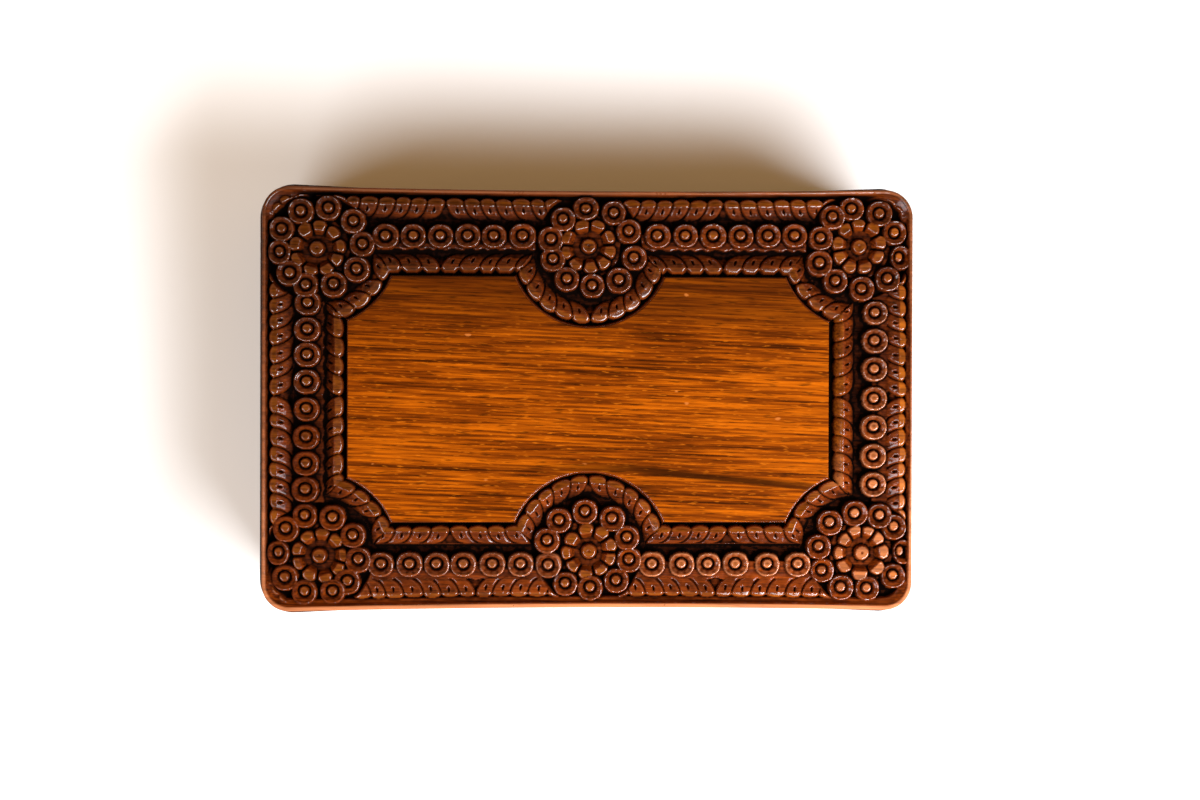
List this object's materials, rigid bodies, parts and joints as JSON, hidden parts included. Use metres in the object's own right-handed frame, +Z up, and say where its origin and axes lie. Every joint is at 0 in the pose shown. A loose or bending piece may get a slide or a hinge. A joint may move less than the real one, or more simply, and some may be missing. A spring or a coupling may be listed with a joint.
{
  "type": "carved wooden box",
  "caption": "Carved wooden keepsake box with a hinged lid: a plain polished panel framed by leaf bands, rows of rings and flower rosettes.",
  "frame": {"origin": "middle of the base board's underside, where the box rests", "axes": "+X along the box's length, +Y to the hinge side, +Z up"},
  "size_m": [0.2614, 0.1714, 0.076],
  "materials": {
    "lid_wood": "glossy varnish",
    "case_wood": "satin varnish",
    "liner_wood": "satin",
    "brass": "aged satin",
    "steel": "dull",
    "felt": "soft felt"
  },
  "bodies": {
    "case": {"base_board": "case_wood", "front_wall": "case_wood", "back_wall": "case_wood", "left_wall": "case_wood", "right_wall": "case_wood", "front_liner": "liner_wood", "back_liner": "liner_wood", "left_liner": "liner_wood", "right_liner": "liner_wood", "floor_felt": "felt", "wall_nails": "steel", "base_screws": "steel", "left_hinge_wall_leaf": "brass", "left_hinge_pin": "brass", "left_hinge_wall_screws": "brass", "right_hinge_wall_leaf": "brass", "right_hinge_pin": "brass", "right_hinge_wall_screws": "brass"},
    "lid": {"lid_board": "lid_wood", "front_rail": "case_wood", "back_rail": "case_wood", "left_rail": "case_wood", "right_rail": "case_wood", "lid_felt": "felt", "rail_nails": "steel", "board_screws": "steel", "left_hinge_lid_leaf": "brass", "left_hinge_lid_screws": "brass", "right_hinge_lid_leaf": "brass", "right_hinge_lid_screws": "brass"}
  },
  "joints": [
    {"name": "lid_hinge", "type": "hinge", "parent": "case", "child": "lid", "pos_m": [0, 0.07835, 0.04625], "axis": [-1, 0, 0], "range_deg": [0, 100]}
  ]
}
